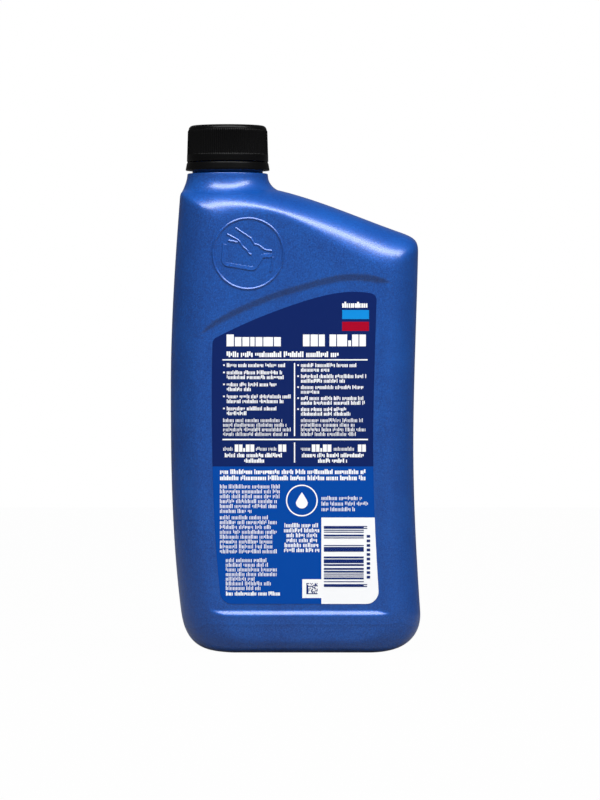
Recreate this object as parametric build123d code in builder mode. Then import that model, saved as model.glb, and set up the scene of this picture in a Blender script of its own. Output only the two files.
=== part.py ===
from build123d import *
import math
import os

# One-quart motor oil bottle: a blown, leaning bottle with an offset screw neck, its ribbed cap
# with a liner, the tamper band left on the neck, a film label and the oil inside.
# Millimetres. X runs along the width, +Y away from the labelled face, Z up from the base.

# Body outline, seen from the front: the neck side swells out, the far side draws in at the waist
body_width = 111.0
body_depth = 57.0
shoulder_height = 208.1          # shoulder line under the neck
low_shoulder_height = 186.3      # shoulder line at the far corner
shoulder_slope = -0.35           # of the shoulder line at the far corner
neck_end_slope = 0.3             # of the shoulder line where it turns down beside the neck
neck_end_drop = 1.3              # of that turn below the shoulder line
foot_height = 18.2               # where the side walls start above the foot corners
belly_height = 117.0             # widest point of the neck side
waist_height = 91.0              # narrowest point of the far side
belly_swell = 4.6                # belly beyond the foot, neck side
belly_return = 4.1               # belly beyond the shoulder, neck side
waist_draw = 3.0                 # waist inside the foot, far side
waist_return = 2.1               # shoulder beyond the waist, far side
neck_side_slopes = (-0.128, 0.077)    # lean of the neck side at its foot and top, X per Z
far_side_slopes = (-0.068, 0.021)
foot_corner_width = 20.2
neck_corner_height = 6.2         # shoulder corner beside the neck
neck_corner_width = 6.5
far_corner_height = 8.1          # shoulder corner on the far side
far_corner_width = 7.6
neck_corner_fullness = 0.57      # 0 cuts a corner straight, 1 fills it square
far_corner_fullness = 0.82
neck_foot_fullness = 0.71
far_foot_fullness = 0.62

# Rounds between the sides and the faces
neck_side_round = 21.0
far_side_round = 17.0
shoulder_round = 22.0
foot_round = 9.0
loft_turns = [90, 82, 70, 55, 40, 25, 10]    # degrees of the shoulder round at each lofted outline

# Wall, label panels and base
wall = 0.9
panel_depth = 1.5
panel_foot = 19.0                # lower edge of a panel's flat
panel_arch = [(-41.5, 140.9), (2.0, 159.9), (27.7, 164.6), (41.5, 162.0)]
panel_arch_ends = [(1, 0.62), (1, -0.4)]
step_run = 2.55                  # width of the slope round a panel
push_up = 2.4                    # hollow in the base
push_up_slope = 40.0             # of its sides, from upright
push_up_corner = 11.4            # radius of its corners in plan
standing_ring = 6.0              # flat ring that the bottle stands on

# Raised ring on the shoulder of the labelled face
emblem_x = -20.9
emblem_height = 176.2
emblem_radius = 16.1
emblem_line = 0.9
emboss = 0.4

# Neck and collar
neck_x = -30.3
collar_radius = 18.3
collar_top_radius = 18.0
collar_height = 209.5
collar_top = 212.6
collar_flare = 3.5
collar_wall = 1.8
neck_radius = 15.7               # plain neck over the collar
mouth_radius = 12.8
thread_root = 14.8               # radius under the neck thread
rim_height = 231.5
rim_round = 0.5
bead_radius = 16.5               # bead that holds the tamper band
bead_height = 215.9
bead_width = 0.8

# Screw thread of neck and cap, right-handed
pitch = 4.23
thread_turns = 1.5
thread_depth = 1.15
thread_foot_width = 2.4
thread_crest_width = 1.0
thread_sunk = 0.3                # how far a ridge's foot is sunk in its wall
thread_start = 223.0             # centre of the neck thread where it begins
running_clearance = 0.3          # of the ridges' crests
flank_clearance = 0.15           # of the flanks that pull the cap down, at mid depth

# Cap
cap_top_thickness = 1.5
cap_top_round = 2.6
cap_foot_radius = 18.15
cap_rib_radius = 18.05           # over the ribs at their foot
cap_shoulder_radius = 17.75      # over the ribs at their top
cap_foot_height = 217.9
rib_foot_height = 220.8
rib_count = 120
rib_depth = 0.35
rib_crest_share = 0.4            # of a rib's pitch, and so is its groove
liner_thickness = 1.0
liner_clearance = 0.25

# Tamper band
slit = 0.4                       # between band and cap
band_foot_height = 214.0
band_top_radius = 18.25
band_foot_radius = 18.7
band_clearance = 0.4             # round the neck and its bead
lip_height = 1.0                 # inner lip that catches under the bead
bridge_count = 16
bridge_width = 0.6
bridge_thickness = 0.7

# Label and oil
label_neck_margin = 18.6         # from the neck side's wall
label_far_margin = 18.1          # from the far side's wall
label_foot_gap = 2.8             # over the foot of the panel's flat
label_arch_gap = 5.2             # below the panel's arched edge
label_corner = 3.0               # radius of the label's upper corners
label_foot_corner = 5.5          # and of its lower corners
label_thickness = 0.15
oil_height = 188.6
oil_clearance = 0.3

half_width = body_width / 2
half_depth = body_depth / 2
neck_axis = Axis((neck_x, 0, 0), (0, 0, 1))
overshoot = 1.0                  # how far a cutting block runs past what it cuts

# Each side wall is (foot, middle, top, slope at foot, slope at top), with points as (X, Z)
neck_side = (
    (-half_width + belly_swell, foot_height),
    (-half_width, belly_height),
    (-half_width + belly_return, shoulder_height - neck_corner_height),
    *neck_side_slopes,
)
far_foot_x = half_width - 0.16
far_side = (
    (far_foot_x, foot_height),
    (far_foot_x - waist_draw, waist_height),
    (far_foot_x - waist_draw + waist_return, low_shoulder_height - far_corner_height),
    *far_side_slopes,
)


def side_x(side, height):
    """X of a side wall at a height: two cubic arcs that meet upright at the middle point."""
    foot, middle, top, foot_slope, top_slope = side
    if height < middle[1]:
        low, high, low_slope, high_slope = foot, middle, foot_slope, 0
    else:
        low, high, low_slope, high_slope = middle, top, 0, top_slope
    rise = high[1] - low[1]
    t = (height - low[1]) / rise
    blend = 3 * t**2 - 2 * t**3
    bow = low_slope * t * (1 - t) ** 2 + high_slope * t**2 * (t - 1)
    return low[0] * (1 - blend) + high[0] * blend + rise * bow


def side_wall(side, inset, low, high):
    """Five points up a side wall moved inwards, and the directions at its two ends."""
    heights = [low + share * (high - low) for share in (0, 0.25, 0.5, 0.75, 1)]
    points = [(side_x(side, height) + inset, height) for height in heights]
    ends = [(side_x(side, height + 1) - side_x(side, height), 1) for height in (low, high - 1)]
    return points, ends


def fall_back(radius, level, skin):
    """How far a wall stands in at a level from the mid plane, because of the round beside it."""
    inner_radius = radius - skin
    reach = max(0.0, abs(level) - (half_depth - radius))
    return radius - math.sqrt(max(0.0, inner_radius**2 - reach**2))


def corner(start, start_direction, end, end_direction, fullness):
    """A soft corner from one outline edge to the next, tangent to both."""
    across = start_direction[0] * end_direction[1] - start_direction[1] * end_direction[0]
    gap = (end[0] - start[0], end[1] - start[1])
    step = (gap[0] * end_direction[1] - gap[1] * end_direction[0]) / across
    apex = (start[0] + step * start_direction[0], start[1] + step * start_direction[1])
    handles = [
        tuple(point[i] + fullness * (apex[i] - point[i]) for i in (0, 1))
        for point in (start, end)
    ]
    Bezier(start, *handles, end)


def outline(level, skin):
    """The body's outline at a level from the mid plane, a skin's thickness inside the outside."""
    neck_inset = fall_back(neck_side_round, level, skin)
    far_inset = fall_back(far_side_round, level, skin)
    drop = fall_back(shoulder_round, level, skin)
    lift = fall_back(foot_round, level, skin)
    neck_wall, neck_ends = side_wall(
        neck_side, neck_inset, foot_height + lift, neck_side[2][1] - drop
    )
    far_wall, far_ends = side_wall(far_side, -far_inset, foot_height + lift, far_side[2][1] - drop)
    down = [(-x, -z) for x, z in reversed(far_ends)]
    near_end = (neck_wall[-1][0] + neck_corner_width, shoulder_height - drop - neck_end_drop)
    far_end = (far_wall[-1][0] - far_corner_width, low_shoulder_height - drop)
    whole_start = neck_side[2][0] + neck_corner_width
    whole_end = far_side[2][0] - far_corner_width
    crest_share = (neck_x - whole_start) / (whole_end - whole_start)
    crest_x = near_end[0] + crest_share * (far_end[0] - near_end[0])
    ridge_ends = [(1, neck_end_slope), (1, shoulder_slope)]
    far_foot = (far_wall[0][0] - foot_corner_width, lift)
    neck_foot = (neck_wall[0][0] + foot_corner_width, lift)
    with BuildSketch(Plane.XZ.offset(level)) as face:
        with BuildLine():
            Spline(*neck_wall, tangents=neck_ends)
            corner(neck_wall[-1], neck_ends[1], near_end, ridge_ends[0], neck_corner_fullness)
            Spline(near_end, (crest_x, shoulder_height - drop), far_end, tangents=ridge_ends)
            corner(far_end, ridge_ends[1], far_wall[-1], down[0], far_corner_fullness)
            Spline(*reversed(far_wall), tangents=down)
            corner(far_wall[0], down[1], far_foot, (-1, 0), far_foot_fullness)
            Line(far_foot, neck_foot)
            corner(neck_foot, (-1, 0), neck_wall[0], neck_ends[0], neck_foot_fullness)
        make_face()
    return face.sketch


def rounded_form(skin):
    """The body's rounded form with no panels: outlines from face to face, lofted together."""
    half = half_depth - skin
    widest = shoulder_round - skin
    levels = [half - widest * (1 - math.sin(math.radians(turn))) for turn in loft_turns]
    with BuildPart() as form:
        for level in [*levels, 0, *[-level for level in reversed(levels)]]:
            add(outline(level, skin))
        loft()
    return form.part


def under_arch(level, foot, rise):
    """The outline of a panel at a level from the mid plane: its foot, and its arch moved up."""
    edge = half_width + overshoot
    arch = [(x, z + rise) for x, z in panel_arch]
    near = (-edge, arch[0][1] - (edge + arch[0][0]) * panel_arch_ends[0][1])
    far = (edge, arch[-1][1] + (edge - arch[-1][0]) * panel_arch_ends[1][1])
    with BuildSketch(Plane.XZ.offset(level)) as face:
        with BuildLine():
            Polyline(near, (-edge, foot), (edge, foot), far)
            Spline(far, *reversed(arch), near)
        make_face()
    return face.sketch


def panel_block(skin):
    """What a panel takes off the front face, widening outwards to its sloping step."""
    floor = half_depth - panel_depth - skin
    outside = half_depth + overshoot
    widening = skin + step_run / panel_depth * (outside - floor)
    with BuildPart() as block:
        add(under_arch(floor, panel_foot - skin, skin))
        add(under_arch(outside, panel_foot - widening, widening))
        loft(ruled=True)
    return block.part


def base_block(skin):
    """What the hollow base takes off the bottom."""
    left = neck_side[0][0] + foot_corner_width + standing_ring
    right = far_side[0][0] - foot_corner_width - standing_ring
    width = right - left + 2 * skin
    depth = 2 * (half_depth - foot_round - standing_ring + skin)
    with BuildPart() as block:
        with BuildSketch(Plane.XY):
            with Locations(((left + right) / 2, 0)):
                RectangleRounded(width, depth, push_up_corner + skin)
        extrude(amount=push_up + skin, taper=push_up_slope)
    return block.part


def body_form(skin):
    """The whole body without its neck, a skin's thickness inside the outside."""
    with BuildPart() as form:
        add(rounded_form(skin))
        split(bisect_by=Plane.XY.offset(skin), keep=Keep.TOP)
        add(panel_block(skin), mode=Mode.SUBTRACT)
        add(panel_block(skin).mirror(Plane.XZ), mode=Mode.SUBTRACT)
        add(base_block(skin), mode=Mode.SUBTRACT)
    return form.part


def turned(profile):
    """A ring or disc turned round the neck's axis from points given as (radius, height)."""
    with BuildPart() as solid:
        with BuildSketch(Plane.XZ):
            with BuildLine():
                Polyline(*[(neck_x + radius, height) for radius, height in profile], close=True)
            make_face()
        revolve(axis=neck_axis)
    return solid.part


def thread(foot_radius, crest_radius, start):
    """One screw ridge, from its foot on a wall to its crest, sunk a little into that wall."""
    sunk = thread_sunk if crest_radius > foot_radius else -thread_sunk
    with BuildPart() as ridge:
        with BuildLine() as path:
            Helix(pitch, pitch * thread_turns, foot_radius, center=(neck_x, 0, start))
        with BuildSketch(Plane(path.line @ 0, x_dir=(1, 0, 0), z_dir=path.line % 0)):
            half_foot, half_crest = thread_foot_width / 2, thread_crest_width / 2
            height = crest_radius - foot_radius
            with BuildLine():
                Polyline(
                    (-sunk, -half_foot),
                    (0, -half_foot),
                    (height, -half_crest),
                    (height, half_crest),
                    (0, half_foot),
                    (-sunk, half_foot),
                    close=True,
                )
            make_face()
        sweep(path=path.line, is_frenet=True)
    return ridge.part


def raised_ring():
    """The ring on the labelled face, following the face and the shoulder round."""
    with BuildPart() as ring:
        add(rounded_form(-emboss))
        add(rounded_form(wall / 2), mode=Mode.SUBTRACT)
        with BuildSketch(Plane.XZ):
            with Locations((emblem_x, emblem_height)):
                Circle(emblem_radius)
                Circle(emblem_radius - emblem_line, mode=Mode.SUBTRACT)
        extrude(amount=body_depth, mode=Mode.INTERSECT)
    return ring.part


def rib_outline(height, crest_radius):
    """The cap's ribbed section: straight-faced ribs with a flat crest and a flat groove."""
    flank_share = (1 - 2 * rib_crest_share) / 2
    steps = [
        (0, crest_radius),
        (rib_crest_share, crest_radius),
        (rib_crest_share + flank_share, crest_radius - rib_depth),
        (2 * rib_crest_share + flank_share, crest_radius - rib_depth),
    ]
    points = []
    for rib in range(rib_count):
        for share, radius in steps:
            turn = 2 * math.pi * (rib + share) / rib_count
            points.append((neck_x + radius * math.cos(turn), radius * math.sin(turn)))
    with BuildSketch(Plane.XY.offset(height)) as section:
        with BuildLine():
            Polyline(*points, close=True)
        make_face()
    return section.sketch


# Bottle: body, collar and neck in one blown shell
deep = low_shoulder_height
inner_collar = collar_radius - collar_wall
bead_top = bead_height + bead_width
with BuildPart() as bottle:
    add(body_form(0))
    with BuildSketch(Plane.XY.offset(deep)):
        with Locations((neck_x, 0)):
            Circle(collar_radius)
    extrude(amount=collar_height - deep)
    fillet(bottle.edges(Select.NEW).filter_by(GeomType.CIRCLE, reverse=True), collar_flare)
    add(
        turned(
            [
                (0, deep),
                (neck_radius, deep),
                (collar_radius, collar_height),
                (collar_top_radius, collar_top),
                (neck_radius, collar_top),
                (neck_radius, bead_height - bead_width),
                (bead_radius, bead_height),
                (bead_radius, bead_top),
                (thread_root, bead_top + bead_radius - thread_root),
                (thread_root, rim_height),
                (0, rim_height),
            ]
        )
    )
    add(thread(thread_root, thread_root + thread_depth, thread_start))
    add(raised_ring())
    add(body_form(wall), mode=Mode.SUBTRACT)
    add(
        turned(
            [
                (0, deep),
                (inner_collar, deep),
                (inner_collar, collar_height),
                (mouth_radius, collar_top),
                (mouth_radius, rim_height + overshoot),
                (0, rim_height + overshoot),
            ]
        ),
        mode=Mode.SUBTRACT,
    )
    fillet(bottle.edges().filter_by(GeomType.CIRCLE).group_by(Axis.Z)[-1], rim_round)
bottle.part.label = "bottle"

# Cap: ribbed outside, screw ridge inside
liner_top = rim_height + liner_thickness
cap_top = liner_top + cap_top_thickness
cap_bore = thread_root + thread_depth + running_clearance
shoulder_foot = cap_top - cap_top_round
rib_taper = (cap_rib_radius - cap_shoulder_radius) / (shoulder_foot - rib_foot_height)
with BuildPart() as ribbed_rod:
    add(rib_outline(rib_foot_height, cap_rib_radius))
    add(rib_outline(cap_top, cap_rib_radius - rib_taper * (cap_top - rib_foot_height)))
    loft(ruled=True)
    with BuildSketch(Plane.XY.offset(cap_foot_height)):
        with Locations((neck_x, 0)):
            Circle(cap_foot_radius)
    extrude(amount=rib_foot_height - cap_foot_height)
with BuildPart() as cap:
    with BuildSketch(Plane.XZ):
        with BuildLine():
            near_top = (neck_x + cap_shoulder_radius - cap_top_round, cap_top)
            shoulder = (neck_x + cap_shoulder_radius, shoulder_foot)
            Polyline(
                near_top,
                (neck_x, cap_top),
                (neck_x, liner_top),
                (neck_x + cap_bore, liner_top),
                (neck_x + cap_bore, cap_foot_height),
                (neck_x + cap_foot_radius, cap_foot_height),
                (neck_x + cap_rib_radius, rib_foot_height),
                shoulder,
            )
            RadiusArc(shoulder, near_top, -cap_top_round)
        make_face()
    revolve(axis=neck_axis)
    ridge_spacing = (thread_foot_width + thread_crest_width) / 2 + flank_clearance
    add(thread(cap_bore, cap_bore - thread_depth, thread_start - ridge_spacing))
    add(ribbed_rod.part, mode=Mode.INTERSECT)
cap.part.label = "cap"

# Liner: the sealing disc between cap and rim
with BuildPart() as cap_liner:
    with BuildSketch(Plane.XY.offset(rim_height)):
        with Locations((neck_x, 0)):
            Circle(cap_bore - liner_clearance)
    extrude(amount=liner_thickness)
cap_liner.part.label = "cap_liner"

# Tamper band: left on the neck, joined to the cap by thin bridges until it is first opened
band_top = cap_foot_height - slit
band_bore = bead_radius + band_clearance
lip_radius = neck_radius + band_clearance
lip_top = bead_height - band_clearance
with BuildPart() as tamper_band:
    add(
        turned(
            [
                (band_foot_radius, band_foot_height),
                (band_top_radius, band_top),
                (band_bore, band_top),
                (band_bore, lip_top + (band_bore - lip_radius) / 2),
                (lip_radius, lip_top),
                (lip_radius, lip_top - lip_height),
                (band_bore, band_foot_height),
            ]
        )
    )
    with BuildSketch(Plane.XY.offset(band_top)):
        with Locations((neck_x, 0)):
            with PolarLocations((band_bore + band_top_radius) / 2, bridge_count):
                Rectangle(bridge_thickness, bridge_width)
    extrude(amount=slit)
tamper_band.part.label = "tamper_band"

# Label: a film on the flat of the panel, inside the side walls and the arched edge
panel_face = half_depth - panel_depth
label_foot = panel_foot + label_foot_gap
with BuildPart() as label:
    with BuildSketch(Plane.XZ.offset(panel_face)) as film:
        label_top = max(height for x, height in panel_arch)
        neck_edge, neck_edge_ends = side_wall(neck_side, label_neck_margin, label_foot, label_top)
        far_edge, far_edge_ends = side_wall(far_side, -label_far_margin, label_foot, label_top)
        with BuildLine():
            Spline(*neck_edge, tangents=neck_edge_ends)
            Line(neck_edge[-1], far_edge[-1])
            Spline(*far_edge, tangents=far_edge_ends)
            Line(far_edge[0], neck_edge[0])
        make_face()
        arched = under_arch(panel_face, label_foot, -label_arch_gap)
        add(Plane.XZ.offset(panel_face).to_local_coords(arched), mode=Mode.INTERSECT)
        fillet(film.vertices().group_by(Axis.Y)[0], label_foot_corner)
        near_top, far_top = film.vertices().group_by(Axis.Y)[-2:]
        fillet(near_top + far_top, label_corner)
    extrude(amount=label_thickness)
label.part.label = "label"

# Oil: what the bottle holds, up to the shoulder
with BuildPart() as motor_oil:
    add(body_form(wall + oil_clearance))
    split(bisect_by=Plane.XY.offset(oil_height), keep=Keep.BOTTOM)
motor_oil.part.label = "motor_oil"

os.makedirs("parts", exist_ok=True)
for piece in (bottle, cap, cap_liner, tamper_band, label, motor_oil):
    export_step(piece.part, f"parts/{piece.part.label}.step")
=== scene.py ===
import math

import bpy
import numpy as np
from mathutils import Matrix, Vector


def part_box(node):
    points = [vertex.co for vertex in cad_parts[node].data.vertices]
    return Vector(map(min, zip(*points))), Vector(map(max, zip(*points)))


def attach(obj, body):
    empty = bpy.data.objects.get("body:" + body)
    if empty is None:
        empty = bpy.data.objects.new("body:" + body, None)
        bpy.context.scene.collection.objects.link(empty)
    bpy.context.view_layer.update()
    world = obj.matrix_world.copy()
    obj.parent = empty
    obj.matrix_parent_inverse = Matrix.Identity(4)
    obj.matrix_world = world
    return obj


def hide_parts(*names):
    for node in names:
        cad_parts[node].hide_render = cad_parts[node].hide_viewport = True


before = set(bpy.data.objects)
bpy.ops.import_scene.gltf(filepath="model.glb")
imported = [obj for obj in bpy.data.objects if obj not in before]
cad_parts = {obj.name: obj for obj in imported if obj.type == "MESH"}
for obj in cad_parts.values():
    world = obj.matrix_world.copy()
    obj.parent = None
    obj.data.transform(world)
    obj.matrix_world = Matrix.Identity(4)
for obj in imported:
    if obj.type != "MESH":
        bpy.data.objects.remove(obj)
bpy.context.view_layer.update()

# Bottle body
# The blown body of pearly blue plastic: a pillow that leans away from its offset neck, with a
# sunk panel on each face and a hollow base. It is one moulding with its collar and neck.

millimetre = 0.001
half_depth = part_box("bottle")[1][1] / millimetre
shoulder_height = 208.3
ridge_slopes = (0.3, -0.35)           # where the shoulder line leaves the corner, where it ends
ridge_end_drop = 1.3
foot_height = 18.2
neck_corner, far_corner = (6.5, 6.2), (7.6, 8.1)   # width and height of the two top corners
foot_corner_width = 20.2
neck_corner_fullness, far_corner_fullness = 0.92, 0.82
neck_foot_fullness, far_foot_fullness = 0.71, 0.62
neck_side_round, far_side_round, foot_round = 21.0, 17.0, 9.0
crown_height, crown_reach, crown_power = 18.6, 1.03, 2.3   # of the shoulder's cross section
wall_thickness = 0.9
neck_x = -30.3

# Side walls as (x, height) at foot, middle and top, with the slopes at foot and top
neck_wall_points = ((-50.9, 18.2), (-55.5, 117.0), (-51.4, 201.9), -0.128, 0.077)
far_wall_points = ((55.34, 18.2), (52.34, 91.0), (54.44, 178.2), -0.068, 0.021)


def wall_x(wall, height):
    """X of a side wall: two cubic Hermite arcs over the height that meet upright at the middle."""
    foot, middle, top, foot_slope, top_slope = wall
    lower = height < middle[1]
    low_x = np.where(lower, foot[0], middle[0])
    low_z = np.where(lower, foot[1], middle[1])
    high_x = np.where(lower, middle[0], top[0])
    high_z = np.where(lower, middle[1], top[1])
    rise = high_z - low_z
    t = (height - low_z) / rise
    ease = 3 * t**2 - 2 * t**3
    bow = np.where(lower, foot_slope * t * (1 - t) ** 2, top_slope * t**2 * (t - 1))
    return low_x * (1 - ease) + high_x * ease + rise * bow


def set_back(radius, level):
    """How far a wall stands in at a level from the mid plane: a quarter circle of that radius."""
    reach = max(0.0, abs(level) - (half_depth - radius))
    return radius - math.sqrt(max(0.0, radius**2 - reach**2))


def shoulder_drop(level):
    """Fall of the shoulder from its line at a level: a superellipse a little deeper than the
    body, so that it meets the face at a soft edge."""
    share = abs(level) / (crown_reach * half_depth)
    return crown_height * (1 - (1 - share**crown_power) ** (1 / crown_power))


def soft_corner(start, start_way, end, end_way, fullness, count):
    """A cubic Bezier whose handles lie on the way to the point where the two edges would meet."""
    across = start_way[0] * end_way[1] - start_way[1] * end_way[0]
    gap = end - start
    apex = start + start_way * (gap[0] * end_way[1] - gap[1] * end_way[0]) / across
    t = np.linspace(0, 1, count, endpoint=False)[:, None]
    near, far = start + fullness * (apex - start), end + fullness * (apex - end)
    return (
        (1 - t) ** 3 * start + 3 * t * (1 - t) ** 2 * near
        + 3 * t**2 * (1 - t) * far + t**3 * end)


def ridge_line(points, start_way, end_way, count):
    """A cubic spline through three points by chord length, with unit directions at its ends."""
    first, second = np.linalg.norm(np.diff(points, axis=0), axis=1)
    rise = 3 * ((points[1] - points[0]) / first**2 + (points[2] - points[1]) / second**2)
    middle_way = (rise - start_way / first - end_way / second) / (2 / first + 2 / second)
    parts = []
    for start, end, chord, leave, arrive in (
        (points[0], points[1], first, start_way, middle_way),
        (points[1], points[2], second, middle_way, end_way),
    ):
        t = np.linspace(0, 1, count // 2, endpoint=False)[:, None]
        parts.append(
            (1 + 2 * t) * (1 - t) ** 2 * start
            + t**2 * (3 - 2 * t) * end
            + chord * (t * (1 - t) ** 2 * leave + t**2 * (t - 1) * arrive)
        )
    return np.vstack(parts)


def unit(x, z):
    """A direction of length one."""
    return np.array((x, z)) / math.hypot(x, z)


side_count, corner_count, ridge_count = 400, 60, 240


def outline(level):
    """The body's outline at a level, clockwise from the foot of the neck side, as (x, height)."""
    inset = set_back(neck_side_round, level)
    far_inset = set_back(far_side_round, level)
    drop = shoulder_drop(level)
    lift = set_back(foot_round, level)
    up = np.linspace(foot_height + lift, neck_wall_points[2][1] - drop, side_count)
    down = np.linspace(far_wall_points[2][1] - drop, foot_height + lift, side_count)
    near = np.column_stack((wall_x(neck_wall_points, up) + inset, up))
    away = np.column_stack((wall_x(far_wall_points, down) - far_inset, down))
    near_end = near[-1] + (neck_corner[0], neck_corner[1] - ridge_end_drop)
    far_end = away[0] + (-far_corner[0], far_corner[1])
    start_x = neck_wall_points[2][0] + neck_corner[0]
    end_x = far_wall_points[2][0] - far_corner[0]
    share = (neck_x - start_x) / (end_x - start_x)
    crest = np.array((near_end[0] + share * (far_end[0] - near_end[0]), shoulder_height - drop))
    leave, arrive = unit(1, ridge_slopes[0]), unit(1, ridge_slopes[1])
    near_up, near_foot = unit(*(near[-1] - near[-2])), unit(*(near[1] - near[0]))
    far_down, far_foot = unit(*(away[1] - away[0])), unit(*(away[-1] - away[-2]))
    heel = np.array((away[-1][0] - foot_corner_width, lift))
    toe = np.array((near[0][0] + foot_corner_width, lift))
    left = np.array((-1.0, 0.0))
    t = np.linspace(0, 1, ridge_count, endpoint=False)[:, None]
    return np.vstack((
        near[:-1],
        soft_corner(near[-1], near_up, near_end, leave, neck_corner_fullness, corner_count),
        ridge_line(np.array((near_end, crest, far_end)), leave, arrive, ridge_count),
        soft_corner(far_end, arrive, away[0], far_down, far_corner_fullness, corner_count),
        away[:-1],
        soft_corner(away[-1], far_foot, heel, left, far_foot_fullness, corner_count),
        heel + t * (toe - heel),
        soft_corner(toe, left, near[0], near_foot, neck_foot_fullness, corner_count),
    ))


# The panel: its flat lies below an arched edge and above a straight foot
panel_depth, panel_foot, step_run = 1.5, 19.0, 2.55
arch_x = np.array((-56.5, -41.5, 2.0, 27.7, 41.5, 56.5))
arch_z = np.array((131.6, 140.9, 159.9, 164.6, 162.0, 156.0))
arch_climb, arch_fall = 0.62, -0.4      # its slopes at the second and the fifth of these points
panel_fade = (35.2, 43.6, 0.95)         # from x, to x, how much shallower at the far side
foot_lean = math.tan(math.radians(5.0))      # of the face below the panel


def arch_height(x):
    """Height of the panel's arched edge: a smooth curve through its points, Hermite arcs."""
    slopes = np.gradient(arch_z, arch_x)
    slopes[1], slopes[4] = arch_climb, arch_fall
    k = np.clip(np.searchsorted(arch_x, x) - 1, 0, len(arch_x) - 2)
    width = arch_x[k + 1] - arch_x[k]
    t = (x - arch_x[k]) / width
    ease = 3 * t**2 - 2 * t**3
    bow = slopes[k] * t * (1 - t) ** 2 + slopes[k + 1] * t**2 * (t - 1)
    return arch_z[k] * (1 - ease) + arch_z[k + 1] * ease + width * bow


def soft_least(a, b, softness):
    """The lesser of two surfaces, their edge rounded over a given depth."""
    t = np.clip(0.5 + 0.5 * (b - a) / softness, 0, 1)
    return b + (a - b) * t - softness * t * (1 - t)


outline_run = 22.0      # how far under the face the outline of a turn of 0 lies


def level_at(turn):
    """The level of an outline, from a turn of 0 to 90 degrees that crowds them near the face."""
    return half_depth - outline_run * (1 - np.sin(np.radians(turn)))


# Depths over which edges are rounded: the face's own, the foot of the panel's step, the start of
# the lean, and the top of the step, which grows softer on its way into the panel
edge_softness, step_foot_softness, lean_softness = 0.35, 0.25, 0.5
step_top_softness, added_softness, softening_run = 0.3, 0.9, 3.0
face_turn, slope_turns = 60.0, 7      # where the face starts, how many turns give its last slope
face_turns = np.linspace(face_turn, 90, 31)
face_loops = [outline(level_at(turn)) for turn in face_turns]
face_centre = np.array((2.0, 100.0))


def face_depth(x, z):
    """Depth of a face at (x, height). Round each level's outline the radius is known for every
    direction from the face's centre, so the turn between two levels is found from the radius.
    The panel's floor, its sloping step and the lean below it then cut that depth down."""
    away = np.hypot(x - face_centre[0], z - face_centre[1])
    angle = np.arctan2(z - face_centre[1], x - face_centre[0])
    radii = []
    for loop in face_loops:
        loop_angle = np.arctan2(*(loop - face_centre).T[::-1])
        loop_away = np.hypot(*(loop - face_centre).T)
        radii.append(np.interp(angle, loop_angle, loop_away, period=2 * math.pi))
    radii = np.array(radii)
    inside = np.clip((radii > away).sum(axis=0), 1, len(radii) - 1)
    outer = np.take_along_axis(radii, inside[None] - 1, 0)[0]
    inner = np.take_along_axis(radii, inside[None], 0)[0]
    share = np.clip((outer - away) / (outer - inner), 0, 1)
    turn = face_turns[inside - 1] + share * (face_turns[inside] - face_turns[inside - 1])
    beyond = np.maximum(radii[-1] - away, 0)
    end_run = radii[-slope_turns] - radii[-1]
    end_slope = (half_depth - level_at(face_turns[-slope_turns])) / end_run
    level = soft_least(
        level_at(turn) + beyond * end_slope, np.full_like(beyond, half_depth), edge_softness)
    floor = half_depth - panel_depth
    outside = np.maximum(z - arch_height(x), panel_foot - z)
    rising = floor + panel_depth / step_run * outside
    fading = np.clip((x - panel_fade[0]) / (panel_fade[1] - panel_fade[0]), 0, 1)
    floor = floor + panel_fade[2] * (3 * fading**2 - 2 * fading**3)
    limit = -soft_least(-rising, -floor, step_foot_softness)
    panel_softness = step_top_softness + added_softness * np.clip(-outside / softening_run, 0, 1)
    leaning = half_depth - foot_lean * (panel_foot - step_run - z)
    return soft_least(soft_least(level, limit, panel_softness), leaning, lean_softness)


samples = len(face_loops[0])
half_corner = corner_count // 2
neck_corner_at = side_count - 1 + half_corner
far_corner_at = side_count - 1 + corner_count + ridge_count + half_corner
far_foot_at = 2 * (side_count - 1) + 2 * corner_count + ridge_count + half_corner
neck_foot_at = samples - half_corner
edge_loop = face_loops[0]
left_marks = np.arange(neck_foot_at - samples, neck_corner_at + 1)
right_marks = np.arange(far_foot_at, far_corner_at - 1, -1)


def on_loop(loop, mark):
    """Points of an outline at fractional places in its list of points, counted round and round."""
    whole = np.floor(mark).astype(int)
    part = (mark - whole)[:, None]
    return loop[whole % samples] * (1 - part) + loop[(whole + 1) % samples] * part


def crossing(marks, guide):
    """The place along an outline's side where a guide line z(x) crosses it."""
    points = on_loop(edge_loop, marks.astype(float))
    over = points[:, 1] - guide(points[:, 0])
    return float(np.interp(0.0, over, marks))


seam_foot, seam_climb = 12.9, 1.3
climb_start, climb_run = 38.0, 10.0      # how far from the middle the climb starts, and its width


def seam_height(x):
    """Height of the fine parting line over the foot, which climbs a little round the sides."""
    t = np.clip((np.abs(x - face_centre[0]) - climb_start) / climb_run, 0, 1)
    return seam_foot + seam_climb * (3 * t**2 - 2 * t**3)


# Rows of the faces' grid lie along the parting line and the panel's foot and arch. Each guide has
# the number of rows below it and its height over x, a little beside the edge that it follows
guides = [
    (7, lambda x: seam_height(x) - 0.3),
    (2, lambda x: seam_height(x) + 0.3),
    (4, lambda x: np.full_like(x, panel_foot - step_run - 0.9)),
    (13, lambda x: np.full_like(x, panel_foot + 1.0)),
    (42, lambda x: arch_height(x) - 1.0),
    (14, lambda x: arch_height(x) + step_run + 1.2),
]
top_rows = 26
seam_row = guides[0][0] + 1
columns, fine_count = 76, 800
left_ends, right_ends = (
    [marks[0], *[crossing(marks, guide) for _, guide in guides], marks[-1]]
    for marks in (left_marks, right_marks))
row_counts = [count for count, _ in guides] + [top_rows]
across = np.linspace(0, 1, columns + 1)


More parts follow.
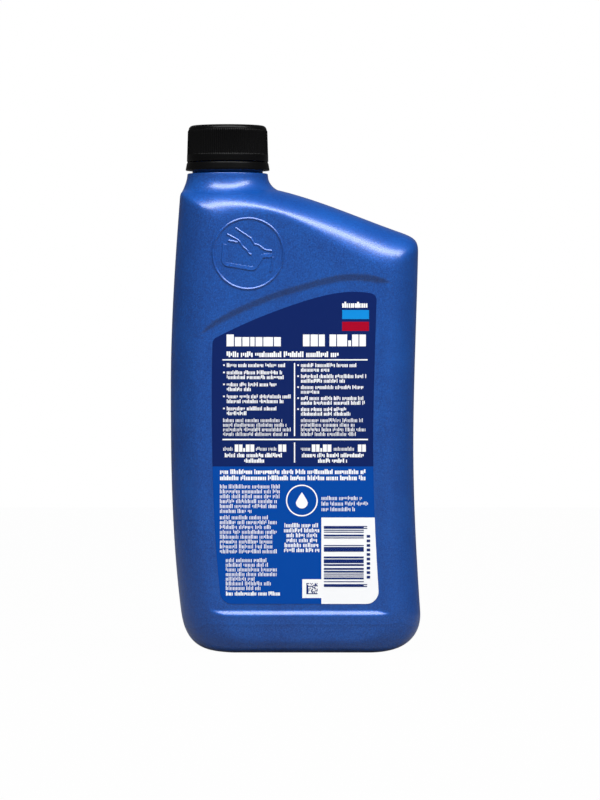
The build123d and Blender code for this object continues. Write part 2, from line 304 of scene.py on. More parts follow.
def evenly_spread(loop, first, last):
    """Marks from one place of an outline to another, an even distance apart along it."""
    fine = np.linspace(first, last, fine_count)
    steps = np.linalg.norm(np.diff(on_loop(loop, fine), axis=0), axis=1)
    run = np.concatenate(((0,), np.cumsum(steps)))
    return np.interp(across * run[-1], run, fine)


top_marks = evenly_spread(edge_loop, neck_corner_at, far_corner_at)
bottom_marks = evenly_spread(edge_loop, neck_foot_at, far_foot_at)


def face_rows():
    """The face's grid in (x, height): between two guide lines each patch blends its four edges."""
    lines = [on_loop(edge_loop, bottom_marks)]
    for k, (_, guide) in enumerate(guides):
        start = on_loop(edge_loop, np.array([left_ends[k + 1]]))[0]
        end = on_loop(edge_loop, np.array([right_ends[k + 1]]))[0]
        x = start[0] + across * (end[0] - start[0])
        lines.append(np.column_stack((x, guide(x))))
    lines.append(on_loop(edge_loop, top_marks))
    rows, left_row_marks, right_row_marks = [], [], []
    for k, count in enumerate(row_counts):
        last = k == len(row_counts) - 1
        t = np.linspace(0, 1, count + 1)[: None if last else -1]
        left_mark = left_ends[k] + t * (left_ends[k + 1] - left_ends[k])
        right_mark = right_ends[k] + t * (right_ends[k + 1] - right_ends[k])
        left_edge, right_edge = on_loop(edge_loop, left_mark), on_loop(edge_loop, right_mark)
        s, t = across[None, :, None], t[:, None, None]
        low, high = lines[k], lines[k + 1]
        foot_corners = (1 - s) * low[0] + s * low[-1]
        top_corners = (1 - s) * high[0] + s * high[-1]
        patch = (1 - t) * low + t * high + (1 - s) * left_edge[:, None] + s * right_edge[:, None]
        patch -= (1 - t) * foot_corners + t * top_corners
        rows.append(patch)
        left_row_marks.append(left_mark)
        right_row_marks.append(right_mark)
    return np.vstack(rows), np.concatenate(left_row_marks), np.concatenate(right_row_marks)


face_grid, left_row_marks, right_row_marks = face_rows()
row_total = len(face_grid)
face_y = face_depth(face_grid[..., 0], face_grid[..., 1])

# Round the edge: from the left side up, over the top, down the right side and back along the foot
rim_marks = np.concatenate((
    left_row_marks[:-1], top_marks[:-1], right_row_marks[:0:-1],
    bottom_marks[:0:-1] + samples,
))
rim_rows = np.concatenate((
    np.arange(row_total - 1), np.full(columns, row_total - 1), np.arange(row_total - 1, 0, -1),
    np.zeros(columns, int),
))
rim_columns = np.concatenate((
    np.zeros(row_total - 1, int), np.arange(columns), np.full(row_total - 1, columns),
    np.arange(columns, 0, -1),
))

base_half_width, base_half_depth, base_corner = 26.9, 13.5, 11.4
base_rise, base_slope_run = 2.4, 2.0


def base_hollow(x, y):
    """Rise of the hollow base: full inside a rounded oblong, easing to nothing over its rim."""
    over_x = np.abs(x - face_centre[0]) - (base_half_width - base_corner)
    over_y = np.abs(y) - (base_half_depth - base_corner)
    beyond = np.hypot(np.maximum(over_x, 0), np.maximum(over_y, 0))
    inside = base_corner - beyond - np.minimum(np.maximum(over_x, over_y), 0)
    t = np.clip(inside / base_slope_run, 0, 1)
    return base_rise * (3 * t**2 - 2 * t**3)


seam_half_width, beside_seam = 0.35, 3.0
band_levels = [float(level_at(turn)) for turn in np.linspace(face_turn, 0, 25)]
band_levels += [beside_seam, seam_half_width]
band_levels = [-level for level in band_levels] + [0.0] + band_levels[::-1]
rim_count = len(rim_marks)
band = []
for level in band_levels:
    loop = on_loop(outline(level), rim_marks)
    rise = base_hollow(loop[:, 0], np.full(rim_count, level))
    low = loop[:, 1] < base_rise
    band.append(np.column_stack((loop[:, 0], np.full(rim_count, level), loop[:, 1] + rise * low)))
band = np.array(band)


def add_mesh(name, points, faces, smooth=True):
    """A mesh object from points in millimetres and lists of corners, put where they say."""
    mesh = bpy.data.meshes.new(name)
    mesh.from_pydata((np.asarray(points) * millimetre).tolist(), [], [list(face) for face in faces])
    mesh.polygons.foreach_set("use_smooth", np.full(len(mesh.polygons), smooth))
    mesh.update()
    piece = bpy.data.objects.new(name, mesh)
    bpy.context.scene.collection.objects.link(piece)
    return piece


def grid_faces(numbers, closed_rows=False):
    """Quads between neighbours of a grid of point numbers, its rows closed on themselves or not."""
    if closed_rows:
        numbers = np.hstack((numbers, numbers[:, :1]))
    a, b = numbers[:-1, :-1], numbers[:-1, 1:]
    c, d = numbers[1:, 1:], numbers[1:, :-1]
    return np.stack((a, b, c, d), axis=-1).reshape(-1, 4)


def point_normals(points, faces):
    """Outward directions at the points of a mesh of quads: the sum of their faces' own, each the
    cross product of its diagonals."""
    first, second, third, fourth = (points[faces[:, corner]] for corner in range(4))
    own = np.cross(third - first, fourth - second)
    total = np.zeros_like(points)
    for corner in range(4):
        np.add.at(total, faces[:, corner], own)
    return total / np.linalg.norm(total, axis=1)[:, None]


band_numbers = np.arange(band.shape[0] * rim_count).reshape(band.shape[0], rim_count)
front_numbers = np.full((row_total, columns + 1), -1)
front_numbers[rim_rows, rim_columns] = band_numbers[0]
back_numbers = np.full((row_total, columns + 1), -1)
back_numbers[rim_rows, rim_columns] = band_numbers[-1]
inner = (slice(1, -1), slice(1, -1))
inner_shape = (row_total - 2, columns - 1)
inner_count = inner_shape[0] * inner_shape[1]
front_numbers[inner] = band_numbers.size + np.arange(inner_count).reshape(inner_shape)
back_numbers[inner] = front_numbers[inner] + inner_count
inner_x, inner_z, inner_y = face_grid[inner][..., 0], face_grid[inner][..., 1], face_y[inner]
body_points = np.vstack((
    band.reshape(-1, 3),
    np.stack((inner_x, -inner_y, inner_z), axis=-1).reshape(-1, 3),
    np.stack((inner_x, inner_y, inner_z), axis=-1).reshape(-1, 3),
))
body_faces = np.vstack((
    grid_faces(band_numbers, closed_rows=True),
    grid_faces(front_numbers),
    grid_faces(back_numbers)[:, ::-1],
))

# The mould's parting lines: one over the foot, one round the mid plane and across the base
seam_rise, mould_rise = 0.07, 0.12
raised = np.zeros(len(body_points))
raised[front_numbers[seam_row]] = seam_rise
raised[back_numbers[seam_row]] = seam_rise
side_seam = (rim_rows == seam_row) & ((rim_columns == 0) | (rim_columns == columns))
raised[band_numbers[:, side_seam]] = seam_rise
raised[band_numbers[len(band_levels) // 2]] = mould_rise
body_points += point_normals(body_points, body_faces) * raised[:, None]
body_points[:, 2] = np.maximum(body_points[:, 2], 0)

neck_hole, lowest_hole = 15.6, 195.0      # its radius, and the height under which nothing goes
centres = body_points[body_faces].mean(axis=1)
under_neck = np.hypot(centres[:, 0] - neck_x, centres[:, 1]) < neck_hole
under_neck &= centres[:, 2] > lowest_hole
body = add_mesh("bottle_body", body_points, body_faces[~under_neck])
walls = body.modifiers.new("wall", "SOLIDIFY")
walls.thickness = wall_thickness * millimetre
walls.offset = -1.0
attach(body, "bottle")
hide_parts("bottle")


def new_material(name, colour, roughness, **sockets):
    """A principled material with its constants on the shader's own sockets."""
    material = bpy.data.materials.new(name)
    material.use_nodes = True
    shader = material.node_tree.nodes["Principled BSDF"]
    shader.inputs["Base Color"].default_value = (*colour, 1)
    shader.inputs["Roughness"].default_value = roughness
    for socket, value in sockets.items():
        shader.inputs[socket.replace("_", " ")].default_value = value
    return material, shader


def add_node(material, kind, **settings):
    """A node with its settings: attributes in lower case, inputs by their capitalised names."""
    node = material.node_tree.nodes.new(kind)
    for name, value in settings.items():
        if name[0].isupper():
            node.inputs[name.replace("_", " ")].default_value = value
        else:
            setattr(node, name, value)
    return node


def object_place(material):
    """The output that gives a point's place on its object, in metres."""
    return add_node(material, "ShaderNodeTexCoord").outputs["Object"]


def uneven_gloss(material, shader, scale, detail, low, high):
    """Roughness that a fine noise moves between two values. Gives the noise back."""
    grain = add_node(material, "ShaderNodeTexNoise", Scale=scale, Detail=detail)
    spread = add_node(material, "ShaderNodeMapRange", To_Min=low, To_Max=high)
    link = material.node_tree.links.new
    link(object_place(material), grain.inputs["Vector"])
    link(grain.outputs[0], spread.inputs["Value"])
    link(spread.outputs[0], shader.inputs["Roughness"])
    return grain


# Pearly blue plastic: fine flakes, each tilted its own way under a clear satin skin, over a deep
# blue ground that varies a little from one patch of the wall to the next
flake_scale, flake_tilt, patch_scale = 2600.0, 0.26, 60.0
# A flake's own shade, by its weight, plus the patch that it lies in, gives its tone in this range
flake_weight, tone_start, tone_end = 0.7, 0.45, 1.25
ground_blue, bright_blue = (0.001, 0.05, 0.272), (0.003, 0.084, 0.39)
blue, blue_shader = new_material(
    "pearly_blue_plastic", ground_blue, 0.48,
    Metallic=0.3, Specular_IOR_Level=0.0,
    Coat_Weight=0.95, Coat_Roughness=0.29, Coat_IOR=1.58)
place = object_place(blue)
link = blue.node_tree.links.new
flakes = add_node(blue, "ShaderNodeTexVoronoi", Scale=flake_scale, Randomness=1.0)
link(place, flakes.inputs["Vector"])
lean = add_node(blue, "ShaderNodeVectorMath", operation="SUBTRACT")
link(flakes.outputs["Color"], lean.inputs[0])
lean.inputs[1].default_value = (0.5, 0.5, 0.5)
small_lean = add_node(blue, "ShaderNodeVectorMath", operation="SCALE", Scale=flake_tilt)
link(lean.outputs[0], small_lean.inputs[0])
skin = add_node(blue, "ShaderNodeNewGeometry")
tilted = add_node(blue, "ShaderNodeVectorMath", operation="ADD")
link(skin.outputs["Normal"], tilted.inputs[0])
link(small_lean.outputs[0], tilted.inputs[1])
straightened = add_node(blue, "ShaderNodeVectorMath", operation="NORMALIZE")
link(tilted.outputs[0], straightened.inputs[0])
link(straightened.outputs[0], blue_shader.inputs["Normal"])
patches = add_node(blue, "ShaderNodeTexNoise", Scale=patch_scale, Detail=3.0)
link(place, patches.inputs["Vector"])
flake_shade = add_node(blue, "ShaderNodeSeparateColor")
link(flakes.outputs["Color"], flake_shade.inputs[0])
mixed = add_node(blue, "ShaderNodeMath", operation="MULTIPLY_ADD")
link(flake_shade.outputs[0], mixed.inputs[0])
mixed.inputs[1].default_value = flake_weight
link(patches.outputs[0], mixed.inputs[2])
tone = add_node(blue, "ShaderNodeMapRange", From_Min=tone_start, From_Max=tone_end)
link(mixed.outputs[0], tone.inputs["Value"])
shade = add_node(blue, "ShaderNodeMix", data_type="RGBA")
shade.inputs[6].default_value = (*ground_blue, 1)
shade.inputs[7].default_value = (*bright_blue, 1)
link(tone.outputs[0], shade.inputs[0])
link(shade.outputs[2], blue_shader.inputs["Base Color"])
body.data.materials.append(blue)

# Collar, neck and screw thread
# The round collar that the shoulder flares up into, and the neck on it with the bead that holds
# the tamper band and the screw ridge. Moulded in one with the body.

collar_radius, collar_top_radius, collar_top = 18.3, 17.95, 212.6
plain_neck_radius, bead_radius, mouth_radius = 15.7, 16.5, 12.8
bead_height, rim_height = 215.9, 231.5
thread_root, thread_depth, thread_pitch, thread_turns = 14.8, 1.15, 4.23, 1.5
thread_start = 223.0
thread_foot_width, thread_crest_width = 2.4, 1.0
flare_top, flare_radius = 211.2, 18.05     # where the flare leaves the collar's wall
flare_front, flare_far, flare_near = 4.2, 5.3, 2.85  # its reach in front, far and neck side
flare_drop, flare_drop_eased = 0.45, 0.25     # how long it stays upright, less to the neck side
flare_bulge, slope_run = 0.15, 0.4            # the second is where the shoulder's slope is taken
inner_foot = 198.0                            # where the neck ends inside the body

top_levels = np.linspace(0, 27, 55)
top_x = np.linspace(neck_wall_points[2][0], -4.0, 160)
first_top, last_top = side_count - 30, side_count - 1 + corner_count + ridge_count
top_table = np.array([
    np.interp(top_x, *outline(level)[first_top:last_top].T) for level in top_levels
])


def shoulder_top(x, y):
    """Height of the body's top under the collar, between the tabled levels and places."""
    i = np.clip(np.abs(y) / top_levels[1], 0, len(top_levels) - 1.001)
    j = np.clip((x - top_x[0]) / (top_x[1] - top_x[0]), 0, len(top_x) - 1.001)
    i0, j0 = i.astype(int), j.astype(int)
    di, dj = i - i0, j - j0
    return (
        (1 - di) * ((1 - dj) * top_table[i0, j0] + dj * top_table[i0, j0 + 1])
        + di * ((1 - dj) * top_table[i0 + 1, j0] + dj * top_table[i0 + 1, j0 + 1])
    )


def ring_of(turns, radius, height):
    """Points round the neck's axis, at one radius and height or at one for each turn."""
    return np.column_stack((
        neck_x + radius * np.cos(turns), radius * np.sin(turns),
        np.broadcast_to(height, turns.shape)))


neck_columns = 160
neck_turns = np.linspace(0, 2 * math.pi, neck_columns, endpoint=False)
cosine, sine = np.cos(neck_turns), np.sin(neck_turns)
towards_far, towards_neck_side = np.clip(cosine, 0, 1) ** 2, np.clip(-cosine, 0, 1) ** 2
reach = (
    flare_front + (flare_far - flare_front) * towards_far
    + (flare_near - flare_front) * towards_neck_side)
flare_foot = flare_radius + reach
foot_of_flare = shoulder_top(neck_x + flare_foot * cosine, flare_foot * sine)
within = flare_foot - slope_run
height_within = shoulder_top(neck_x + within * cosine, within * sine)
foot_slope = np.clip((height_within - foot_of_flare) / slope_run, 0.1, 1.6)
flare_rise = flare_top - foot_of_flare
upright = (flare_drop - flare_drop_eased * towards_neck_side) * flare_rise


def flare_ring(t):
    """A ring of the flare: a cubic Bezier in each direction, upright where it leaves the wall at
    0 and lying on the shoulder where it ends at 1."""
    start, leave = (1 - t) ** 3, 3 * t * (1 - t) ** 2
    arrive, end = 3 * t**2 * (1 - t), t**3
    radius = (
        start * flare_radius + leave * (flare_radius + flare_bulge)
        + arrive * (flare_foot - 0.5 * reach) + end * flare_foot)
    height = (
        start * flare_top + leave * (flare_top - upright)
        + arrive * (foot_of_flare + 0.5 * reach * foot_slope) + end * foot_of_flare)
    return ring_of(neck_turns, radius, height)


rows = [flare_ring(1.0) - (0, 0, 0.6), flare_ring(1.0) - (0, 0, 0.03)]
rows += [flare_ring(t) for t in np.linspace(0.97, 0, 16)]
edge_turns = np.radians((0, 22, 45, 68, 90))
collar_edge = 0.45
for turn in edge_turns:
    rows.append(ring_of(
        neck_turns, collar_top_radius - collar_edge * (1 - math.cos(turn)),
        collar_top - collar_edge * (1 - math.sin(turn))))
bead_top = bead_height + 0.8
for radius, height in (
    (plain_neck_radius + 0.3, collar_top), (plain_neck_radius, collar_top + 0.3),
    (plain_neck_radius, bead_height - 0.9), (bead_radius - 0.1, bead_height - 0.05),
    (bead_radius, bead_height + 0.1), (bead_radius, bead_top - 0.1),
    (bead_radius - 0.1, bead_top + 0.05), (thread_root + 0.1, bead_top + 1.6),
    (thread_root, bead_top + 1.8),
):
    rows.append(ring_of(neck_turns, radius, height))


def ridge_height(angle, height, start):
    """Height of a screw ridge over its wall: a flat crest with sloping flanks, measured from the
    nearest turn of the helix, and run out over its two ends."""
    climb = (height - start) / thread_pitch - angle / (2 * math.pi)
    best = np.zeros(np.broadcast(angle, height).shape)
    for k in range(-1, 3):
        along = angle / (2 * math.pi) + k
        off = np.abs(climb - k) * thread_pitch
        flank = (thread_foot_width / 2 - off) / ((thread_foot_width - thread_crest_width) / 2)
        ends = np.clip(np.minimum(along, thread_turns - along) / 0.06, 0, 1)
        best = np.maximum(best, np.clip(flank, 0, 1) * ends)
    return thread_depth * best


for height in np.arange(bead_top + 2.1, rim_height - 0.5, 0.22):
    radius = thread_root + ridge_height(neck_turns, height, thread_start)
    rows.append(ring_of(neck_turns, radius, height))
for radius, height in (
    (thread_root, rim_height - 0.45), (thread_root - 0.13, rim_height - 0.13),
    (thread_root - 0.45, rim_height), (mouth_radius + 0.45, rim_height),
    (mouth_radius + 0.13, rim_height - 0.13), (mouth_radius, rim_height - 0.45),
    (mouth_radius, collar_top + 0.5), (mouth_radius, inner_foot), (collar_radius - 1.2, inner_foot),
):
    rows.append(ring_of(neck_turns, radius, height))


def ring_numbers(count, columns, closed):
    """Point numbers of rings laid one after another, the first again after the last or not."""
    numbers = np.arange(count * columns).reshape(count, columns)
    return np.vstack((numbers, numbers[:1])) if closed else numbers


neck = add_mesh(
    "bottle_neck", np.vstack(rows),
    grid_faces(ring_numbers(len(rows), neck_columns, True), closed_rows=True))
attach(neck, "bottle")
neck.data.materials.append(blue)

# Raised pouring sign
# A fine raised ring round a hand that pours from a bottle, moulded proud of the shoulder on the
# labelled face.

sign_centre = np.array((-20.9, 176.2))
sign_radius, sign_line, sign_rise = 16.3, 1.5, 0.44
sunk_foot, sunk_back = 0.1, 0.3      # how far a line's feet and its back lie inside the wall


def raised_line(path, width, rise, closed, crest):
    """A ridge along a path on the face: two flat flanks from sunk feet, that meet at the crest,
    a share of the half width to the right of the path."""
    path = np.asarray(path, float)
    way = np.roll(path, -1, 0) - np.roll(path, 1, 0) if closed else np.gradient(path, axis=0)
    way /= np.linalg.norm(way, axis=1)[:, None]
    side = np.column_stack((way[:, 1], -way[:, 0]))
    sections = []
    for share in np.linspace(-1, 1, 9):
        spot = path + side * share * width / 2
        up = rise * min((1 + share) / (1 + crest), (1 - share) / (1 - crest))
        up -= sunk_foot * (abs(share) == 1)
        sections.append(np.column_stack((spot[:, 0], -face_depth(*spot.T) - up, spot[:, 1])))
    sections.append(sections[0] * 0.5 + sections[-1] * 0.5 + (0, sunk_back, 0))
    return np.array(sections)


def add_raised_line(name, path, width, rise, closed=False, crest=0.0):
    """The ridge as a closed piece of blue plastic that rides with the bottle."""
    sections = raised_line(path, width, rise, closed, crest)
    count, length = sections.shape[:2]
    numbers = ring_numbers(count, length, True)
    if closed:
        faces = grid_faces(numbers, closed_rows=True)[:, ::-1].tolist()
    else:
        faces = grid_faces(numbers)[:, ::-1].tolist()
        faces.append(numbers[:-1, 0][::-1].tolist())
        faces.append(numbers[:-1, -1].tolist())
    piece = add_mesh(name, sections.reshape(-1, 3), faces)
    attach(piece, "bottle")
    piece.data.materials.append(blue)
    return piece


def ring_path(centre, radius, count):
    """A circle's points, one for each of count equal turns."""
    turns = np.linspace(0, 2 * math.pi, count, endpoint=False)
    return centre + radius * np.column_stack((np.cos(turns), np.sin(turns)))


def rounded_path(corners, radius, step=0.25):
    """A line through corners with each cut by a parabola, then spread at even steps."""
    corners = np.asarray(corners, float)
    t = np.linspace(0, 1, 8)[:, None]
    runs = [corners[:1]]
    for before, corner, after in zip(corners, corners[1:], corners[2:]):
        back, on = before - corner, after - corner
        start = corner + back * min(0.5, radius / np.linalg.norm(back))
        end = corner + on * min(0.5, radius / np.linalg.norm(on))
        runs.append((1 - t) ** 2 * start + 2 * t * (1 - t) * corner + t**2 * end)
    runs.append(corners[-1:])
    line = np.vstack(runs)
    run = np.concatenate(((0,), np.cumsum(np.linalg.norm(np.diff(line, axis=0), axis=1))))
    even = np.linspace(0, run[-1], max(4, int(run[-1] / step)))
    return np.column_stack((np.interp(even, run, line[:, 0]), np.interp(even, run, line[:, 1])))


# Each line of the picture: its corners from the sign's centre, their rounding, its width, rise
# and crest
sign_lines = {
    "raised_hand_back": (
        ((-5.7, 11.4), (0.9, 7.0), (2.0, 5.5), (2.8, 4.1), (4.2, 3.9), (5.3, 3.2), (7.2, 1.7),
         (10.5, 1.2)), 0.6, 1.3, 0.38, 0.0),
    "raised_hand_wrist": (
        ((-9.4, 8.6), (-4.7, 6.2), (-3.6, 5.1), (-2.5, 3.2), (-0.6, 1.6), (0.5, -0.1),
         (1.5, -0.5)), 0.6, 1.3, 0.38, 0.0),
    "raised_hand_thumb": (((-8.8, 5.8), (-6.6, 5.4), (-4.5, 4.9)), 0.6, 1.3, 0.38, 0.0),
    "raised_bottle": (
        ((-10.3, 4.2), (-10.9, -3.1), (-10.1, -4.6), (1.6, -6.6), (2.9, -6.3), (6.1, -1.2),
         (7.2, -0.9), (10.5, -0.8)), 0.8, 2.2, 0.26, 0.75),
    "raised_drip": (((11.0, -1.4), (10.6, -4.4), (10.0, -8.0)), 0.8, 1.3, 0.3, 0.5),
}
ring_radius = sign_radius - sign_line / 2
add_raised_line("raised_ring", ring_path(sign_centre, ring_radius, 200), sign_line, sign_rise, True)
for name, (corners, rounding, width, rise, crest) in sign_lines.items():
    path = rounded_path(sign_centre + np.array(corners), rounding)
    add_raised_line(name, path, width, rise, crest=crest)

# Label
# A printed film in the panel of the labelled face: navy over mid blue, with a white field for
# the codes. The print is ink that stands a few hundredths of a millimetre proud of the film.

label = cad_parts["label"]
label_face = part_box("label")[0][1] / millimetre
navy, mid_blue, ink_white = (0.0035, 0.0155, 0.108), (0.0, 0.058, 0.335), (0.9, 0.91, 0.92)
dark_ink, bar_cyan, bar_red = (0.006, 0.022, 0.14), (0.004, 0.235, 0.64), (0.356, 0.0, 0.018)
mid_field_top, white_field_top, white_field_left = 82.4, 59.9, 11.4
ink_sunk, ink_proud = 0.02, 0.03      # how far the ink goes into the film, and stands out of it
film, film_shader = new_material("printed_film", navy, 0.34, Specular_IOR_Level=0.1)
link = film.node_tree.links.new
axes = add_node(film, "ShaderNodeSeparateXYZ")
link(object_place(film), axes.inputs[0])
below = add_node(film, "ShaderNodeMath", operation="LESS_THAN")
link(axes.outputs["Z"], below.inputs[0])
below.inputs[1].default_value = mid_field_top * millimetre
fields = add_node(film, "ShaderNodeMix", data_type="RGBA")
fields.inputs[6].default_value = (*navy, 1)
fields.inputs[7].default_value = (*mid_blue, 1)
link(below.outputs[0], fields.inputs[0])
right = add_node(film, "ShaderNodeMath", operation="GREATER_THAN")
link(axes.outputs["X"], right.inputs[0])
right.inputs[1].default_value = white_field_left * millimetre
low = add_node(film, "ShaderNodeMath", operation="LESS_THAN")
link(axes.outputs["Z"], low.inputs[0])
low.inputs[1].default_value = white_field_top * millimetre
corner = add_node(film, "ShaderNodeMath", operation="MULTIPLY")
link(right.outputs[0], corner.inputs[0])
link(low.outputs[0], corner.inputs[1])
printed_fields = add_node(film, "ShaderNodeMix", data_type="RGBA")
link(corner.outputs[0], printed_fields.inputs[0])
link(fields.outputs[2], printed_fields.inputs[6])
printed_fields.inputs[7].default_value = (*ink_white, 1)
uneven_gloss(film, film_shader, 900.0, 2.0, 0.28, 0.4)
link(printed_fields.outputs[2], film_shader.inputs["Base Color"])
label.data.materials.clear()
label.data.materials.append(film)


def printed(name, boxes, colour, proud=ink_proud):
    """A layer of ink: each box (x, x, height, height) is a thin closed slab on the film."""
    boxes = np.asarray(boxes, float)
    left, right, low, high = boxes[:, 0], boxes[:, 1], boxes[:, 2], boxes[:, 3]
    back, front = label_face + ink_sunk, label_face - proud
    corners = [
        np.column_stack((x, np.full(len(boxes), y), z))
        for y in (front, back) for x, z in ((left, low), (right, low), (right, high), (left, high))
    ]
    points = np.stack(corners, axis=1).reshape(-1, 3)
    sides = np.array((
        (0, 1, 2, 3), (7, 6, 5, 4), (4, 5, 1, 0), (5, 6, 2, 1), (6, 7, 3, 2), (7, 4, 0, 3)))
    faces = (np.arange(len(boxes))[:, None, None] * 8 + sides).reshape(-1, 4)
    return add_ink(name, points, faces, colour)


def add_ink(name, points, faces, colour):
    """A piece of print in one colour that rides on the label."""
    piece = add_mesh(name, points, faces, smooth=False)
    ink, ink_shader = new_material(f"ink_{name}", colour, 0.4, Specular_IOR_Level=0.1)
    uneven_gloss(ink, ink_shader, 1400.0, 2.0, 0.35, 0.5)
    piece.data.materials.append(ink)
    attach(piece, "bottle")
    return piece


draw = np.random.default_rng(11)
stroke_step, small_height = 0.36, 0.74      # shares of the size of the print
tall_share, raised_share = 0.3, 0.12        # how many strokes are tall, how many start higher


def word_marks(left, height, width, size, weight=0.45):
    """A line of plain strokes in word-like groups: no letters, only their rhythm. The strokes
    share the line's foot, most as tall as small letters and a few taller."""
    step = stroke_step * size
    count = max(2, int(width / step))
    x = left + step * np.arange(count)
    spaces = np.zeros(count, bool)
    mark = 0
    while mark < count:
        mark += int(draw.integers(5, 16))
        spaces[mark:mark + 1] = True
        mark += 1
    tall = np.where(draw.random(count) < tall_share, 1.0, small_height)
    foot = np.where(draw.random(count) < raised_share, 0.35, 0.0)
    low = height - size / 2 + foot * size * 0.7
    high = height - size / 2 + tall * size
    wide = step * weight * draw.uniform(0.85, 1.25, count)
    return np.column_stack((x, x + wide, low, high))[~spaces]


def paragraph(left, top, widths, size, pitch, weight=0.45, centred=False):
    """Lines of strokes one under another, each with its own width."""
    lines = []
    for number, width in enumerate(widths):
        start = left + (max(widths) - width) / 2 if centred else left
        lines.append(word_marks(start, top - number * pitch, width, size, weight))
    return np.vstack(lines)


dot_start, dot_end, dot_half = 1.6, 0.9, 0.35      # how far left of the line, and half its height


def bulleted(left, top, items, pitch, gap):
    """Paragraphs with a dot before each, a gap between them."""
    parts = []
    height = top
    for widths in items:
        parts.append(paragraph(left, height, widths, 1.75, pitch, 0.62))
        dot = (left - dot_start, left - dot_end, height - dot_half, height + dot_half)
        parts.append(np.array((dot,)))
        height -= len(widths) * pitch + gap
    return np.vstack(parts)


def title(left, foot, tiles, size, gap=0.45):
    """Bold tiles in a row in the place of a title, each (width, share of the full height)."""
    boxes = []
    for width, share in tiles:
        boxes.append((left, left + width, foot, foot + share * size))
        left += width + gap
    return np.array(boxes)


grade_tiles = ((1.6, 1), (1.5, 1), (0.9, 0.5), (1.7, 1), (1.7, 1))
class_tiles = ((1.6, 1), (1.6, 1))
# The line of grades: each has its words' left and width, and its short title's left and tiles
grade_places = (
    (-31.8, 4.6, -26.8, grade_tiles), (-17.4, 9.2, -7.6, class_tiles),
    (2.4, 4.4, 7.2, grade_tiles), (16.9, 10.2, 27.5, class_tiles),
)


def grades():
    """Words and a short title in turn, twice in each column of the line of grades."""
    for left, width, title_left, tiles in grade_places:
        yield word_marks(left, 90.2, width, 1.7)
        yield title(title_left, 88.9, tiles, 3.2, 0.3)


# The print from top to bottom, its places and sizes in millimetres
white_print = np.vstack((
    title(-30.4, 135.4, ((3.2, 1), *[(w, 0.78) for w in (2.9, 3.0, 1.9, 3.0, 4.2, 3.0)]), 5.2),
    title(3.3, 135.4, ((2.9, 1), (3.2, 1), (2.6, 1)), 5.2),
    title(15.0, 135.4, ((2.9, 1), (4.4, 1), (1.3, 0.5), (2.8, 1), (2.8, 1)), 5.2),
    word_marks(-30.4, 131.9, 50.0, 2.5, 0.72),
    np.array(((-32.2, 31.8, 129.15, 129.7), (-32.2, 31.9, 94.0, 94.6))),
    np.array(((-0.7, -0.15, 95.8, 128.0), (-0.7, -0.15, 84.1, 93.0))),
    bulleted(
        -30.3, 127.1, ((26.1,), (25.0, 25.6), (22.1, 11.1), (28.7, 25.2), (22.1, 9.4)), 2.1, 1.1),
    bulleted(
        2.4, 127.1, ((25.0, 13.1), (29.1, 19.9), (27.8, 8.3), (27.8, 28.6), (20.3, 22.5)), 2.05,
        0.75),
    paragraph(-31.9, 102.8, (26.8, 28.6, 30.2, 28.8), 1.7, 2.03),
    paragraph(2.4, 102.8, (27.8, 23.9, 29.1, 25.1), 1.7, 2.03),
    *grades(),
    paragraph(-31.2, 87.4, (26.4, 9.2), 1.9, 2.4, 0.7, True),
    paragraph(2.8, 87.4, (27.5, 13.2), 1.9, 2.4, 0.7, True),
    paragraph(-33.3, 80.1, (64.8, 64.8), 2.1, 2.7, 0.7),
    paragraph(-33.3, 73.6, (27.1, 26.7, 26.7, 25.6, 25.8, 14.3), 1.8, 2.16),
    paragraph(-33.3, 60.0, (21.8, 25.7, 23.3, 25.3, 23.4, 24.6, 23.5, 25.3), 1.8, 2.14),
    paragraph(-30.7, 41.1, (18.7, 19.4, 23.9, 22.8, 13.0, 20.1, 15.9), 1.8, 2.05),
    word_marks(-30.7, 26.4, 24.4, 1.8, 0.72),
    paragraph(-5.1, 56.5, (15.7, 16.2, 13.9, 13.9, 15.7, 16.1), 1.9, 2.18, 0.6, True),
    paragraph(11.5, 68.5, (18.7, 20.8, 15.4), 1.8, 2.45),
    word_marks(20.6, 153.7, 11.8, 2.6, 0.75),
))
printed("white_print", white_print, ink_white)
square_left, square_foot, square_top = 3.0, 24.4, 32.7
square = (square_left, white_field_left, square_foot, square_top)
printed("code_square", (square,), ink_white, ink_sunk)

# Bars and squares in the place of the codes, at random, with guards and a frame always inked
bar_step, bar_share, bar_width = 0.42, 0.52, 0.96
bars_left, bars_right, guards_right = 12.5, 30.1, 31.6
guards = [0, 2, -1, -3]
bar_feet = np.arange(29.3, 56.0, bar_step)
inked = draw.random(len(bar_feet)) < bar_share
inked[guards] = True
bars = np.column_stack((
    np.full(len(bar_feet), bars_left), np.full(len(bar_feet), bars_right),
    bar_feet, bar_feet + bar_step * bar_width))
bars[guards, 1] = guards_right
cell, cell_count, cells_left, cells_foot = 0.41, 12, 4.8, 26.1
code_x, code_z = np.meshgrid(
    cells_left + cell * np.arange(cell_count), cells_foot + cell * np.arange(cell_count))
framed = (code_x < cells_left + cell / 2) | (code_z < cells_foot + cell / 2)
dark = (draw.random(code_x.shape) < 0.5) | framed
cells = np.column_stack((code_x[dark], code_x[dark] + cell, code_z[dark], code_z[dark] + cell))
digits = np.array([(31.4, 32.9, z, z + 1.2) for z in np.arange(33.0, 52.6, 2.0)])
printed("dark_print", np.vstack((bars[inked], cells, digits)), dark_ink, 0.05)

badge_centre = np.array((2.8, 67.4))
badge_radius, badge_bore, badge_count = 7.0, 6.45, 72
drop_width, drop_tip, drop_low = 2.6, 4.6, 0.9      # half its width, its point, how low its centre
turns = np.linspace(0, 2 * math.pi, badge_count, endpoint=False)
circle = np.column_stack((np.cos(turns), np.sin(turns)))


